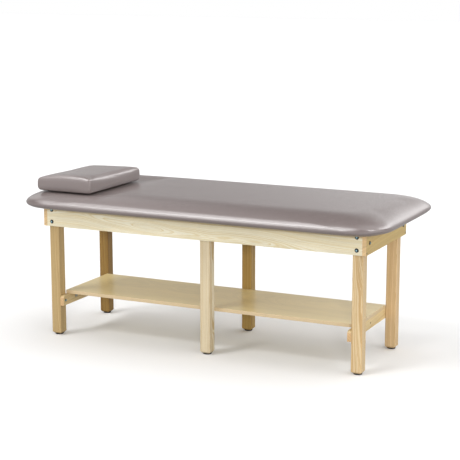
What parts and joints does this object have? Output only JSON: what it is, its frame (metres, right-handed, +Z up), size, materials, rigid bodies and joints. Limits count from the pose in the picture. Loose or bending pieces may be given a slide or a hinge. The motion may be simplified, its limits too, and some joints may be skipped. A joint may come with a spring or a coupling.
{
  "type": "treatment table",
  "caption": "Padded treatment table on a bolted timber frame with square legs, a low storage shelf and a loose block pillow at the head end.",
  "frame": {"origin": "on the floor, under the middle of the padded top", "axes": "+X along the table to the foot end (the pillow lies at -X), +Y from the front side to the back side, +Z up"},
  "size_m": [1.988, 0.894, 0.8533],
  "materials": {
    "pale_timber": "satin",
    "leg_timber": "satin",
    "plywood": "matte",
    "vinyl": "satin",
    "foam": "matte",
    "black_steel": "gloss",
    "zinc_steel": "satin",
    "black_plastic": "matte"
  },
  "bodies": {
    "table": {"apron_bolts": "black_steel", "back_apron": "pale_timber", "bolt_nuts": "zinc_steel", "bolt_washers": "zinc_steel", "cleat_screws": "zinc_steel", "crossbar_bolts": "zinc_steel", "deck_board": "plywood", "deck_cleats": "pale_timber", "deck_screws": "zinc_steel", "end_board_bolts": "black_steel", "end_board_screws": "black_steel", "foot_end_board": "pale_timber", "foot_shelf_rail": "pale_timber", "front_apron": "pale_timber", "glide_screws": "zinc_steel", "head_end_board": "pale_timber", "head_shelf_rail": "pale_timber", "leg_back_foot": "leg_timber", "leg_back_head": "leg_timber", "leg_back_middle": "leg_timber", "leg_front_foot": "leg_timber", "leg_front_head": "leg_timber", "leg_front_middle": "leg_timber", "leg_glides": "black_plastic", "middle_crossbar": "pale_timber", "middle_leg_screws": "zinc_steel", "pad_cover": "vinyl", "pad_foam": "foam", "shelf_board": "pale_timber", "shelf_bracket_screws": "zinc_steel", "shelf_brackets": "zinc_steel", "shelf_rail_bolts": "black_steel", "shelf_rail_inserts": "zinc_steel", "shelf_stretcher": "pale_timber", "stretcher_screws": "black_steel"},
    "pillow": {"pillow_cover": "vinyl", "pillow_foam": "foam"}
  },
  "joints": [
    {"name": "pillow_lift", "type": "slide", "parent": "table", "child": "pillow", "axis": [0, 0, 1], "range_m": [0, 0.15]}
  ]
}
